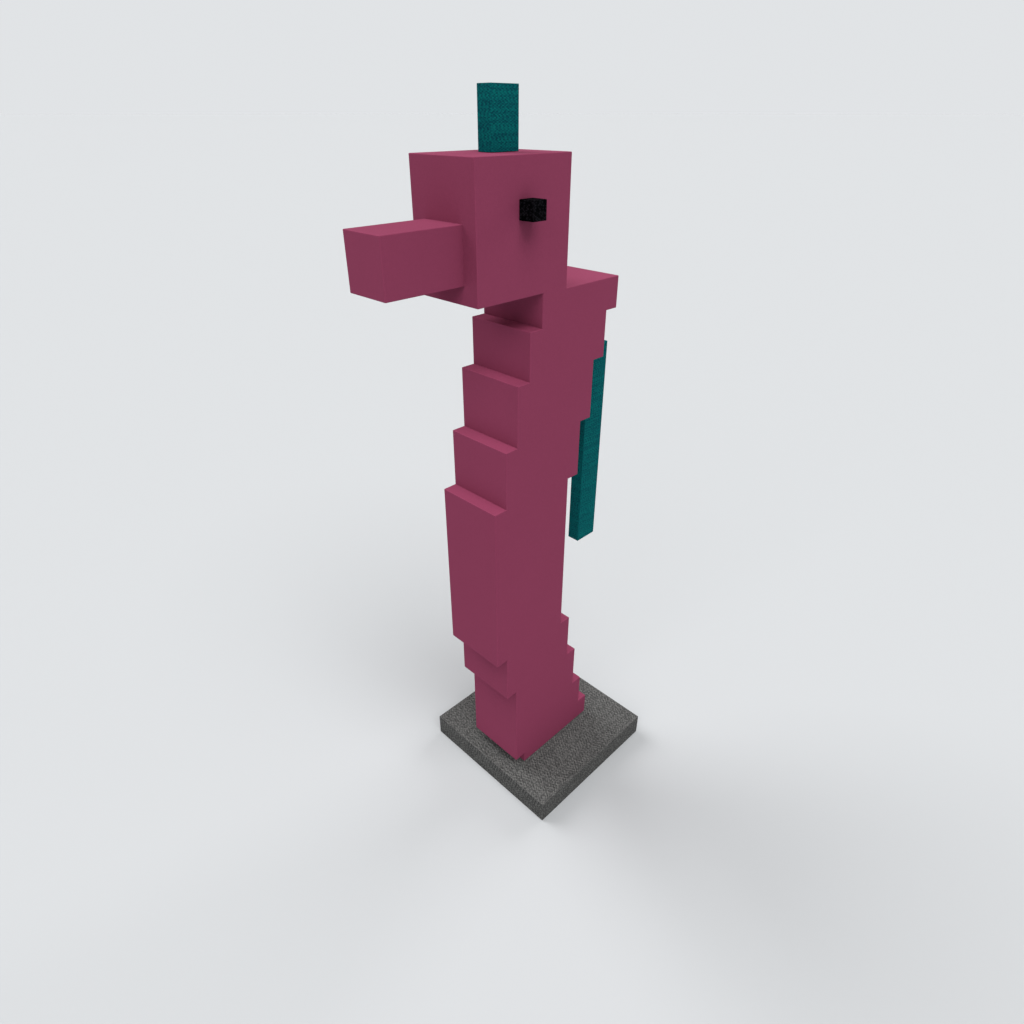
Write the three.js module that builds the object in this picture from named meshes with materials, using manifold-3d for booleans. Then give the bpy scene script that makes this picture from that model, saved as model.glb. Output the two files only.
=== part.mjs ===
// A seahorse statue in square-cut steps, cast in coloured stone and stood on a square slab.
// Millimetres, +Z up. The seahorse looks along -Y and is the same on both sides of X = 0.
// The origin is the centre of the slab's underside.

import * as THREE from "three";
import { mergeVertices } from "three/addons/utils/BufferGeometryUtils.js";
import Module from "manifold-3d";

// The block that the whole figure is stepped by, and the thin bed of adhesive between two pieces.
const BLOCK = 20;
const JOINT = 0.3;

// The slab under the figure.
const SLAB_WIDTH = 260;
const SLAB_LENGTH = 260;
const SLAB_THICKNESS = 40;

// The trunk is a stack of courses about one block high. The middle ones stand furthest forward, as the
// belly.
const TRUNK_HEIGHT = 780;
const TRUNK_WIDTH = 100;
const TRUNK_LENGTH = 140;
const BELLY_FORWARD = 80;

// The foot, where the tail's tip turns forward, and the shorter sole that it rests on.
const FOOT_FORWARD = 40;
const FOOT_HEIGHT = 100;
const SOLE_FORWARD = 20;
const SOLE_HEIGHT = 20;

// The head, carried forward of the neck, and the square snout on its front face.
const HEAD_WIDTH = 100;
const HEAD_LENGTH = 140;
const HEAD_HEIGHT = 140;
const HEAD_FORWARD = 100;
const SNOUT_WIDTH = 60;
const SNOUT_LENGTH = 100;
const SNOUT_HEIGHT = 60;
const SNOUT_RISE = 20;

// The crest on the head, set back from the head's front face.
const CREST_WIDTH = 20;
const CREST_LENGTH = 40;
const CREST_HEIGHT = 60;
const CREST_SETBACK = 60;

// The eyes, one on each side of the head, set back from its front face and below its top.
const EYE_SIDE = 20;
const EYE_PROUD = 20;
const EYE_SETBACK = 60;
const EYE_BELOW_TOP = 40;

// The fin behind the back: a plumb blade, and a root at its upper end that reaches the back.
const FIN_WIDTH = 20;
const FIN_LENGTH = 40;
const FIN_HEIGHT = 320;
const FIN_BELOW_HEAD = 100;
const FIN_ROOT_HEIGHT = 80;

const PINK = new THREE.MeshStandardMaterial({ color: 0x9b4765, roughness: 0.85, metalness: 0 });
const TEAL = new THREE.MeshStandardMaterial({ color: 0x0a6468, roughness: 0.95, metalness: 0 });
const GREY = new THREE.MeshStandardMaterial({ color: 0x5c5c5b, roughness: 0.95, metalness: 0 });
const BLACK = new THREE.MeshStandardMaterial({ color: 0x0d0d0e, roughness: 0.9, metalness: 0 });

const wasm = await Module();
wasm.setup();

// A square-cut block, centred on X = 0, between two heights and between a front and a back face.
function block(width, front, back, bottom, top) {
  const geometry = new THREE.BoxGeometry(width, back - front, top - bottom);
  return geometry.translate(0, (front + back) / 2, (bottom + top) / 2);
}

// An outline of [y, z] points, seen from the side and given its width along X.
function fromSide(outline, width) {
  const shape = new THREE.Shape(outline.map(([y, z]) => new THREE.Vector2(y, z)));
  const geometry = new THREE.ExtrudeGeometry(shape, { depth: width, bevelEnabled: false });
  return geometry.translate(0, 0, -width / 2).rotateX(Math.PI / 2).rotateZ(Math.PI / 2);
}

// Several overlapping closed shapes, made one.
function fuse(geometries) {
  const solids = geometries.map((geometry) => {
    geometry.deleteAttribute("normal");
    geometry.deleteAttribute("uv");
    const merged = mergeVertices(geometry);
    return new wasm.Manifold(
      new wasm.Mesh({
        numProp: 3,
        vertProperties: merged.getAttribute("position").array,
        triVerts: new Uint32Array(merged.index.array),
      }),
    );
  });
  const mesh = solids.reduce((whole, next) => whole.add(next)).getMesh();
  return new THREE.BufferGeometry()
    .setAttribute("position", new THREE.BufferAttribute(mesh.vertProperties, 3))
    .setIndex(new THREE.BufferAttribute(mesh.triVerts, 1));
}

function named(name, geometry, material) {
  const mesh = new THREE.Mesh(geometry, material);
  mesh.name = name;
  return mesh;
}

// The trunk's steps, from the foot up. How far a course stands forward follows half a sine wave,
// taken to the nearest whole block, so that several courses make one step.
function trunkSteps() {
  const courses = Math.round(TRUNK_HEIGHT / BLOCK);
  const rise = TRUNK_HEIGHT / courses;
  const steps = [];
  for (let course = 0; course < courses; course++) {
    const wave = Math.sin((Math.PI * course) / (courses - 1));
    const forward = Math.round((BELLY_FORWARD / BLOCK) * wave) * BLOCK;
    const top = (course + 1) * rise;
    const last = steps.at(-1);
    if (last && last.forward === forward) last.top = top;
    else steps.push({ forward, bottom: course * rise, top });
  }
  return steps;
}

const steps = trunkSteps();
const trunkFront = -TRUNK_LENGTH / 2;
const trunkBack = TRUNK_LENGTH / 2;
const headFront = -HEAD_FORWARD - HEAD_LENGTH / 2;
const headTop = TRUNK_HEIGHT + HEAD_HEIGHT;
const snoutBottom = TRUNK_HEIGHT + SNOUT_RISE;
const snoutTop = snoutBottom + SNOUT_HEIGHT;

// The trunk, foot, head and snout, which are cast as one. The snout's block starts inside the head.
function body() {
  const front = steps.flatMap(({ forward, bottom, top }) => [
    [trunkFront - forward, bottom],
    [trunkFront - forward, top],
  ]);
  const back = steps.flatMap(({ forward, bottom, top }) => [
    [trunkBack - forward, bottom],
    [trunkBack - forward, top],
  ]);
  return fuse([
    fromSide([...back, ...front.reverse()], TRUNK_WIDTH),
    block(TRUNK_WIDTH, trunkFront - FOOT_FORWARD, 0, SOLE_HEIGHT, FOOT_HEIGHT),
    block(TRUNK_WIDTH, trunkFront - SOLE_FORWARD, 0, 0, SOLE_HEIGHT),
    block(HEAD_WIDTH, headFront, headFront + HEAD_LENGTH, TRUNK_HEIGHT, headTop),
    block(SNOUT_WIDTH, headFront - SNOUT_LENGTH, headFront + BLOCK, snoutBottom, snoutTop),
  ]);
}

function crest() {
  const front = headFront + CREST_SETBACK;
  return block(CREST_WIDTH, front, front + CREST_LENGTH, headTop + JOINT, headTop + JOINT + CREST_HEIGHT);
}

function eye() {
  const front = headFront + EYE_SETBACK;
  const top = headTop - EYE_BELOW_TOP;
  return block(EYE_PROUD, front, front + EYE_SIDE, top - EYE_SIDE, top);
}

// The blade hangs in line with the back of the neck and the foot. The root fills what is left between
// it and the back, step by step.
function dorsalFin() {
  const top = TRUNK_HEIGHT - FIN_BELOW_HEAD;
  const rootBottom = top - FIN_ROOT_HEIGHT;
  const bladeFront = trunkBack + JOINT;
  const root = steps
    .filter((step) => step.top > rootBottom && step.bottom < top && step.forward > 0)
    .map((step) =>
      block(
        FIN_WIDTH,
        trunkBack - step.forward + JOINT,
        bladeFront + FIN_LENGTH,
        Math.max(step.bottom, rootBottom),
        Math.min(step.top, top),
      ),
    );
  return fuse([block(FIN_WIDTH, bladeFront, bladeFront + FIN_LENGTH, top - FIN_HEIGHT, top), ...root]);
}

const baseSlab = block(SLAB_WIDTH, -SLAB_LENGTH / 2, SLAB_LENGTH / 2, 0, SLAB_THICKNESS);
const statue = new THREE.Group();
statue.add(named("base_slab", baseSlab, GREY));

const seahorse = new THREE.Group();
seahorse.position.z = SLAB_THICKNESS + JOINT;
seahorse.add(named("body", body(), PINK));
seahorse.add(named("crest", crest(), TEAL));
seahorse.add(named("dorsal_fin", dorsalFin(), TEAL));
for (const [name, side] of [["eye_left", 1], ["eye_right", -1]]) {
  const mesh = named(name, eye(), BLACK);
  mesh.position.x = side * (HEAD_WIDTH / 2 + JOINT + EYE_PROUD / 2);
  seahorse.add(mesh);
}
statue.add(seahorse);

export default statue;
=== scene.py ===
import math

import bmesh
import bpy
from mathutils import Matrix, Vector


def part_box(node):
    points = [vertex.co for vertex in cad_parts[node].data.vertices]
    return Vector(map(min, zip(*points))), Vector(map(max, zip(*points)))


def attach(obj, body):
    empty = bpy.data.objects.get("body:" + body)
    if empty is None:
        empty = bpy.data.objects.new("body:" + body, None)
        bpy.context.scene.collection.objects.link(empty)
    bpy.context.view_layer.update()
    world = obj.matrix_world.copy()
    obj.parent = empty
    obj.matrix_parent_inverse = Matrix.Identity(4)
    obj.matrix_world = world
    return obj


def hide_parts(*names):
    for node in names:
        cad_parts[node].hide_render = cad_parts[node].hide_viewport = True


# The looks of a seahorse statue in coloured cast stone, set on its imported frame. Metres, +Z up. The
# seahorse looks along -Y, and +X is its left.

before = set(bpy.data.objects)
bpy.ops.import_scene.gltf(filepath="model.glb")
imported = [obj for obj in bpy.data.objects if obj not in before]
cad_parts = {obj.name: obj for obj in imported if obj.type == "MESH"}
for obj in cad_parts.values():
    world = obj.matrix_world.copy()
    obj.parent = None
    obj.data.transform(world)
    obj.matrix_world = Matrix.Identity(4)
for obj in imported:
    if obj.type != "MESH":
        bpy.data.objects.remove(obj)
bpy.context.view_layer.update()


# The slab is one square of charcoal cast stone. Its faces are combed in short strokes, which dry to a few
# close greys, and its arrises are rubbed down once it is out of the mould.

SLAB_ARRIS = 0.0008
SLAB_STROKE = (0.0028, 0.0017)
SLAB_BANDING = 0.05
SLAB_GLOSS = 0.03
CHARCOALS = ((0.00, (0.032, 0.032, 0.032)), (0.25, (0.053, 0.053, 0.052)),
             (0.45, (0.075, 0.075, 0.073)), (0.72, (0.122, 0.122, 0.118)))

# A rubbed arris is rounded in a few facets. Turns of fewer degrees than the soft turn are shaded as one
# curve, and there the broad flats outweigh the facets.
ARRIS_FACETS = 3
SOFT_TURN = 50
FLATS_WEIGHT = 100

# A stroke's tone is partly its own and partly shared with the next stroke. The rest comes from every other
# stroke, which is pressed harder.
OWN_TONE = 0.36
SHARED_TONE = 0.14
PRESSED_TONE = 0.50

# Each row starts one stroke further along than the row before, and up to this share of a stroke more by
# chance, so that hard strokes seldom lie side by side.
ROW_SHIFT = 0.8

# Added to the number of a row, or put in place of a row's or a column's, this keeps the draws for pairs of
# strokes and for whole rows apart from those for single strokes.
APART = 0.5

# How far the comb chatters, as a share of a stroke's height, and how long one shake is, as a share of its
# length. This leaves the strokes with ragged ends and edges.
CHATTER = 2.0
CHATTER_LENGTH = 0.3

# The size of the sand in the combed skin, how far it moves a stroke's tone towards the next one, and how
# much it and the rubbed arrises lighten or darken the stone. The ridges along the rows carry painted shade:
# each row is painted darker towards its sides, in the grooves between rows. A ridge is 1 high in its middle
# and 0 at its sides.
SAND = 0.0009
SAND_MIX = 0.4
SAND_SHADE = 0.30
PAINTED_GROOVE_SHADE = 0.15
RIDGE_MEAN = 2 / 3
RIDGE_RELIEF = 0.4
ARRIS_SHADE = 0.15

# The roughness of combed stone between the grains of its sand and on them.
COMBED_ROUGHNESS = (0.98, 0.86)

# For every stone: the depth of its finest relief, how many finer layers its noise has and how strong they
# are, the noise's mean, and how far a surface faces one side when it is turned half way to the next.
RELIEF = 0.00012
NOISE_LAYERS = 2
NOISE_ROUGHNESS = 0.55
NOISE_MEAN = 0.5
HALF_WAY = math.cos(math.radians(45))


class Shade:
    """A socket in a finish's nodes. Arithmetic on it adds the Math nodes that work it out."""

    def __init__(self, tree, socket=None):
        self.tree = tree
        self.socket = socket

    def node(self, kind, settings, sockets, output=0):
        """One node of a kind, with its settings made first and its sockets then filled or linked."""
        node = self.tree.nodes.new(kind)
        for name, value in settings.items():
            if name == "stops":
                set_stops(node.color_ramp, value)
            else:
                setattr(node, name, value)
        for name, value in sockets.items():
            if isinstance(value, Shade):
                self.tree.links.new(value.socket, node.inputs[name])
            else:
                node.inputs[name].default_value = value
        return Shade(self.tree, node.outputs[output]) if node.outputs else None

    def out(self, name):
        """Another output of the same node."""
        return Shade(self.tree, self.socket.node.outputs[name])

    def maths(self, operation, *others):
        """One Math node, of this number and the others that the operation takes."""
        return self.node("ShaderNodeMath", {"operation": operation}, dict(enumerate((self, *others))))

    def __add__(self, other):
        return self.maths("ADD", other)

    def __sub__(self, other):
        return self.maths("SUBTRACT", other)

    def __rsub__(self, other):
        return self * -1 + other

    def __mul__(self, other):
        return self.maths("MULTIPLY", other)

    def __truediv__(self, other):
        return self.maths("DIVIDE", other)

    def __gt__(self, other):
        return self.maths("GREATER_THAN", other)

    __radd__ = __add__
    __rmul__ = __mul__


def set_stops(ramp, stops):
    """Gives a ramp its tones, each of which holds from its own stop to the next. Two stops come with it."""
    ramp.interpolation = "CONSTANT"
    for at, tone in stops[2:]:
        ramp.elements.new(at)
    for element, (at, tone) in zip(ramp.elements, stops):
        element.position = at
        element.color = (*tone, 1)


def square_block(name, low, high):
    """One square-cut block between two corners."""
    bpy.ops.object.select_all(action="DESELECT")
    bpy.ops.mesh.primitive_cube_add(size=1, location=(low + high) / 2)
    piece = bpy.context.object
    piece.name = name
    piece.scale = high - low
    bpy.ops.object.transform_apply(location=True, rotation=False, scale=True)
    return piece


def rub_arrises(piece, width):
    """Rounds every edge that stands out, and leaves the inner corners of steps sharp."""
    bpy.ops.object.mode_set(mode="EDIT")
    bpy.ops.mesh.select_all(action="DESELECT")
    for edge in bmesh.from_edit_mesh(piece.data).edges:
        edge.select_set(edge.is_convex)
    bpy.ops.mesh.bevel(offset=width, segments=ARRIS_FACETS)
    bpy.ops.object.mode_set(mode="OBJECT")
    bpy.ops.object.shade_smooth_by_angle(angle=math.radians(SOFT_TURN))
    flats = piece.modifiers.new("flats", "WEIGHTED_NORMAL")
    flats.weight = FLATS_WEIGHT
    flats.keep_sharp = True
    bpy.ops.object.modifier_apply(modifier="flats")


def set_piece(piece, node, stone):
    """Gives a finished piece its stone, and sets it in the place of its CAD node."""
    piece.data.name = piece.name
    piece.data.materials.clear()
    piece.data.materials.append(stone)
    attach(piece, "root")
    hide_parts(node)


def new_finish(name):
    """An empty finish, and the shade that its nodes start from."""
    finish = bpy.data.materials.new(name)
    finish.use_nodes = True
    finish.node_tree.nodes.clear()
    return finish, Shade(finish.node_tree)


def lightened(tone, amount):
    """A colour made lighter or darker by an amount that varies over the stone."""
    return amount.node("ShaderNodeVectorMath", {"operation": "SCALE"}, {0: tone, "Scale": amount})


def noise(start, size):
    """Soft random patches of about one size, from 0 to 1."""
    at = start.node("ShaderNodeTexCoord", {}, {}, "Object")
    sockets = {"Vector": at, "Scale": 1 / size, "Detail": NOISE_LAYERS, "Roughness": NOISE_ROUGHNESS}
    return start.node("ShaderNodeTexNoise", {"noise_dimensions": "3D"}, sockets)


def rubbed(start):
    """From 0 on the flats to 1 in the middle of an arris, by how far the surface turns off square."""
    at = start.node("ShaderNodeTexCoord", {}, {}, "Normal")
    turn = start.node("ShaderNodeSeparateXYZ", {}, {"Vector": at})
    x, y, z = (turn.out(axis).maths("ABSOLUTE") for axis in "XYZ")
    square = x.maths("MAXIMUM", y).maths("MAXIMUM", z)
    return ((1 - square) / (1 - HALF_WAY)).maths("MINIMUM", 1)


def comb(start, stroke, banding):
    """The marks of a comb: a tone from 0 to 1 for each stroke, and how high the stone stands across its
    row. Rows lie level on the upright faces and run from front to back on the flat tops. The banding is
    the share of the tone that a whole row has in common."""
    length, height = stroke
    at = start.node("ShaderNodeTexCoord", {}, {}, "Object")
    turn = start.node("ShaderNodeSeparateXYZ", {}, {"Vector": at.out("Normal")})
    chatter = noise(start, CHATTER_LENGTH * length).out("Color")
    sockets = {0: chatter, 1: (CHATTER * height,) * 3, 2: at}
    ragged = start.node("ShaderNodeVectorMath", {"operation": "MULTIPLY_ADD"}, sockets)
    place = start.node("ShaderNodeSeparateXYZ", {}, {"Vector": ragged})
    x, y, z = (place.out(axis) for axis in "XYZ")
    lying = turn.out("Z").maths("ABSOLUTE") > HALF_WAY
    facing = turn.out("Y").maths("ABSOLUTE") > HALF_WAY
    along = y + (x - y) * facing
    across = (z + (x - z) * lying) / height

    # Each of a piece's six sides has a number of its own, so that no two are marked alike.
    side = (turn.out("X") + turn.out("Y") * 2 + turn.out("Z") * 4).maths("ROUND")

    def draw(column, row):
        """A number from 0 to 1 by chance, the same all over one cell of one side."""
        cell = start.node("ShaderNodeCombineXYZ", {}, {"X": column, "Y": row, "Z": side})
        return start.node("ShaderNodeTexWhiteNoise", {"noise_dimensions": "3D"}, {"Vector": cell})

    row = across.maths("FLOOR")
    own = along / length + row + draw(row, APART) * ROW_SHIFT
    column = own.maths("FLOOR")
    pair = (own / 2).maths("FLOOR")
    every_other = column - pair * 2
    tone = draw(column, row) * OWN_TONE + draw(pair, row + APART) * SHARED_TONE + every_other * PRESSED_TONE
    tone = tone * (1 - banding) + draw(APART, row) * banding
    part = across - row
    return tone, part * (1 - part) * 4


def between(ends, share):
    """A number that goes from one end to the other as a share goes from 0 to 1."""
    return share * (ends[1] - ends[0]) + ends[0]


def finish_stone(start, tone, roughness, height, gloss):
    """Ends a stone's nodes in a matt surface with a fine relief."""
    relief = start.node("ShaderNodeBump", {}, {"Distance": RELIEF, "Height": height})
    sockets = {"Base Color": tone, "Roughness": roughness, "Normal": relief, "Specular IOR Level": gloss}
    surface = start.node("ShaderNodeBsdfPrincipled", {}, sockets)
    start.node("ShaderNodeOutputMaterial", {}, {"Surface": surface})


def combed_stone(name, tones, stroke, banding, gloss):
    """A stone with combed faces in a few close tones. Painted shade makes it darker in the grooves between
    the rows, and it is a little paler on the arrises, which are rubbed."""
    stone, start = new_finish(name)
    strokes, ridge = comb(start, stroke, banding)
    sand = noise(start, SAND)
    grain = sand - NOISE_MEAN
    tone = start.node("ShaderNodeValToRGB", {"stops": tones}, {0: strokes + grain * SAND_MIX})
    # The ridge term is painted shade, darkening the grooves between the rows.
    amount = 1 + grain * SAND_SHADE + (ridge - RIDGE_MEAN) * PAINTED_GROOVE_SHADE + rubbed(start) * ARRIS_SHADE
    roughness = between(COMBED_ROUGHNESS, sand)
    finish_stone(start, lightened(tone, amount), roughness, ridge * RIDGE_RELIEF + sand, gloss)
    return stone


slab = square_block("slab", *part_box("base_slab"))
rub_arrises(slab, SLAB_ARRIS)
charcoal_stone = combed_stone("charcoal_cast_stone", CHARCOALS, SLAB_STROKE, SLAB_BANDING, SLAB_GLOSS)
set_piece(slab, "base_slab", charcoal_stone)


# The body is one casting in pink stone, from the foot on the slab up to the snout. It comes out of a
# boarded mould with flat faces and square steps, and only its arrises are rubbed.

BODY_ARRIS = 0.0008
PINK = (0.207, 0.0382, 0.0810)

# The patches in the pink, from the finest to the widest: their size, and how far they change the tone.
GRAIN = (0.0006, 0.30)
COARSE_SAND = (0.0014, 0.12)
MOTTLE = (0.005, 0.05)
CLOUD = (0.06, 0.05)

# How much paler the rubbed arrises are, and the roughness between the coarse sand's grains and on them.
PINK_ARRIS_SHADE = 0.06
PINK_ROUGHNESS = (0.92, 0.78)
PINK_GLOSS = 0.04

# Corners nearer than this are welded, and faces that turn by fewer degrees than this are made one flat.
WELD_WITHIN = 0.00001
FLAT_WITHIN = 1


def copy_of(node, name):
    """A copy of a CAD node's mesh, welded, with each flat face in one piece."""
    bpy.ops.object.select_all(action="DESELECT")
    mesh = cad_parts[node].data.copy()
    piece = bpy.data.objects.new(name, mesh)
    bpy.context.collection.objects.link(piece)
    piece.select_set(True)
    bpy.context.view_layer.objects.active = piece
    bpy.ops.object.mode_set(mode="EDIT")
    bpy.ops.mesh.select_all(action="SELECT")
    bpy.ops.mesh.remove_doubles(threshold=WELD_WITHIN)
    bpy.ops.mesh.dissolve_limited(angle_limit=math.radians(FLAT_WITHIN))
    bpy.ops.mesh.customdata_custom_splitnormals_clear()
    bpy.ops.object.mode_set(mode="OBJECT")
    return piece


def pink_cast_stone():
    """Pink stone, even in colour, with a fine sand grain and a faint cloud."""
    stone, start = new_finish("pink_cast_stone")
    kinds = (GRAIN, COARSE_SAND, MOTTLE, CLOUD)
    patches = [noise(start, size) for size, share in kinds]
    amount = 1 + rubbed(start) * PINK_ARRIS_SHADE
    for patch, (size, share) in zip(patches, kinds):
        amount = amount + (patch - NOISE_MEAN) * share
    grain, sand = patches[:2]
    finish_stone(start, lightened(PINK, amount), between(PINK_ROUGHNESS, sand), grain + sand, PINK_GLOSS)
    return stone


body = copy_of("body", "body_casting")
rub_arrises(body, BODY_ARRIS)
set_piece(body, "body", pink_cast_stone())


# The eyes are two small blocks of black stone with combed faces, stuck on the sides of the head. The one
# on the left is shaped first, and the one on the right is its copy.

EYE_ARRIS = 0.0005
EYE_STROKE = (0.0022, 0.0013)
EYE_BANDING = 0.1
EYE_GLOSS = 0.005
BLACKS = ((0.00, (0.0002, 0.0002, 0.0003)), (0.30, (0.0006, 0.0006, 0.0008)),
          (0.55, (0.0016, 0.0016, 0.0021)), (0.72, (0.0110, 0.0105, 0.0130)))

left_eye = square_block("left_eye", *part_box("eye_left"))
rub_arrises(left_eye, EYE_ARRIS)
bpy.ops.object.duplicate()
right_eye = bpy.context.object
right_eye.name = "right_eye"
right_eye.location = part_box("eye_right")[0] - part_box("eye_left")[0]
bpy.ops.object.transform_apply(location=True, rotation=False, scale=False)

black_stone = combed_stone("black_cast_stone", BLACKS, EYE_STROKE, EYE_BANDING, EYE_GLOSS)
set_piece(left_eye, "eye_left", black_stone)
set_piece(right_eye, "eye_right", black_stone)


# The crest is an upright block of combed teal stone, stuck on the crown. Its rows differ more than the
# slab's do, because each was combed in one pull.

CREST_ARRIS = 0.0005
TEAL_STROKE = (0.0027, 0.0013)
TEAL_BANDING = 0.25
TEAL_GLOSS = 0.03
TEALS = ((0.00, (0.0010, 0.043, 0.060)), (0.30, (0.0012, 0.068, 0.081)),
         (0.49, (0.0014, 0.093, 0.097)), (0.70, (0.0016, 0.122, 0.116)))

crest = square_block("head_crest", *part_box("crest"))
rub_arrises(crest, CREST_ARRIS)
teal_stone = combed_stone("teal_cast_stone", TEALS, TEAL_STROKE, TEAL_BANDING, TEAL_GLOSS)
set_piece(crest, "crest", teal_stone)


# The fin is a thin upright blade of the same teal stone. It stands clear of the body but for a root at its
# upper end, which reaches the back and is stuck to it.

FIN_ARRIS = 0.0005

fin = copy_of("dorsal_fin", "back_fin")
rub_arrises(fin, FIN_ARRIS)
set_piece(fin, "dorsal_fin", teal_stone)


# The studio has a plain pale floor that runs on to the horizon, a dim even sky, and four wide soft lights
# round the statue. The two strong ones stand at its sides, where they reach the tops of its steps.

FLOOR_REACH = 600
FLOOR_DROP = 0.0002
FLOOR_TONE = (0.410, 0.420, 0.430)
SKY_TONE = (1, 1, 1)
SKY_STRENGTH = 0.26

# For each light: how far round from the front it stands and how high, in degrees, and how strong it is.
# The spread is how wide each looks from the statue.
LIGHTS = {
    "left_light": (75, 57, 0.80),
    "right_light": (285, 45, 0.79),
    "front_light": (18, 30, 0.27),
    "back_light": (180, 20, 0.62),
}
LIGHT_SPREAD = 40
LIGHT_DISTANCE = 2

bpy.ops.object.select_all(action="DESELECT")
bpy.ops.mesh.primitive_plane_add(size=2 * FLOOR_REACH, location=(0, 0, -FLOOR_DROP))
floor = bpy.context.object
floor.name = "floor"
floor_paint, start = new_finish("floor_paint")
surface = start.node("ShaderNodeBsdfDiffuse", {}, {"Color": (*FLOOR_TONE, 1)})
start.node("ShaderNodeOutputMaterial", {}, {"Surface": surface})
floor.data.materials.append(floor_paint)

floor_light = SKY_STRENGTH
for name, (azimuth, elevation, strength) in LIGHTS.items():
    turn = math.radians(azimuth)
    rise = math.radians(elevation)
    level = math.cos(rise)
    towards = Vector((math.sin(turn) * level, -math.cos(turn) * level, math.sin(rise)))
    bpy.ops.object.light_add(type="SUN", location=LIGHT_DISTANCE * towards)
    light = bpy.context.object
    light.name = name
    light.rotation_euler = towards.to_track_quat("Z", "Y").to_euler()
    light.data.energy = strength * math.pi
    light.data.angle = math.radians(LIGHT_SPREAD)
    floor_light += strength * math.sin(rise)

# What the camera sees past the floor has the tone of the lit floor, so that no horizon shows. It gives no
# light, because every other ray meets the sky.
backdrop_tone = [channel * floor_light for channel in FLOOR_TONE]
studio = bpy.data.worlds.new("studio")
bpy.context.scene.world = studio
studio.use_nodes = True
studio.node_tree.nodes.clear()
start = Shade(studio.node_tree)
sky = start.node("ShaderNodeBackground", {}, {"Color": (*SKY_TONE, 1), "Strength": SKY_STRENGTH})
backdrop = start.node("ShaderNodeBackground", {}, {"Color": (*backdrop_tone, 1)})
seen = start.node("ShaderNodeLightPath", {}, {}, "Is Camera Ray")
both = start.node("ShaderNodeMixShader", {}, {0: seen, 1: sky, 2: backdrop})
start.node("ShaderNodeOutputWorld", {}, {"Surface": both})


# The camera stands at the statue's front left, a little above its head, and looks down at the middle.
# Angles are in degrees, and the sensor's width is in millimetres.

CAMERA_AT = (0.56773, -0.63788, 0.99592)
CAMERA_AZIMUTH = 45
CAMERA_DOWN = 31.13
CAMERA_ANGLE = 75.42
SENSOR_WIDTH = 36
NEAREST_SEEN = 0.01

bpy.ops.object.camera_add(
    location=CAMERA_AT,
    rotation=(math.radians(90 - CAMERA_DOWN), 0, math.radians(CAMERA_AZIMUTH)),
)
camera = bpy.context.object
camera.name = "camera"
camera.data.sensor_width = SENSOR_WIDTH
camera.data.lens = SENSOR_WIDTH / 2 / math.tan(math.radians(CAMERA_ANGLE / 2))
camera.data.clip_start = NEAREST_SEEN
camera.data.clip_end = 2 * FLOOR_REACH
bpy.context.scene.camera = camera
bpy.context.scene.view_settings.view_transform = "Standard"
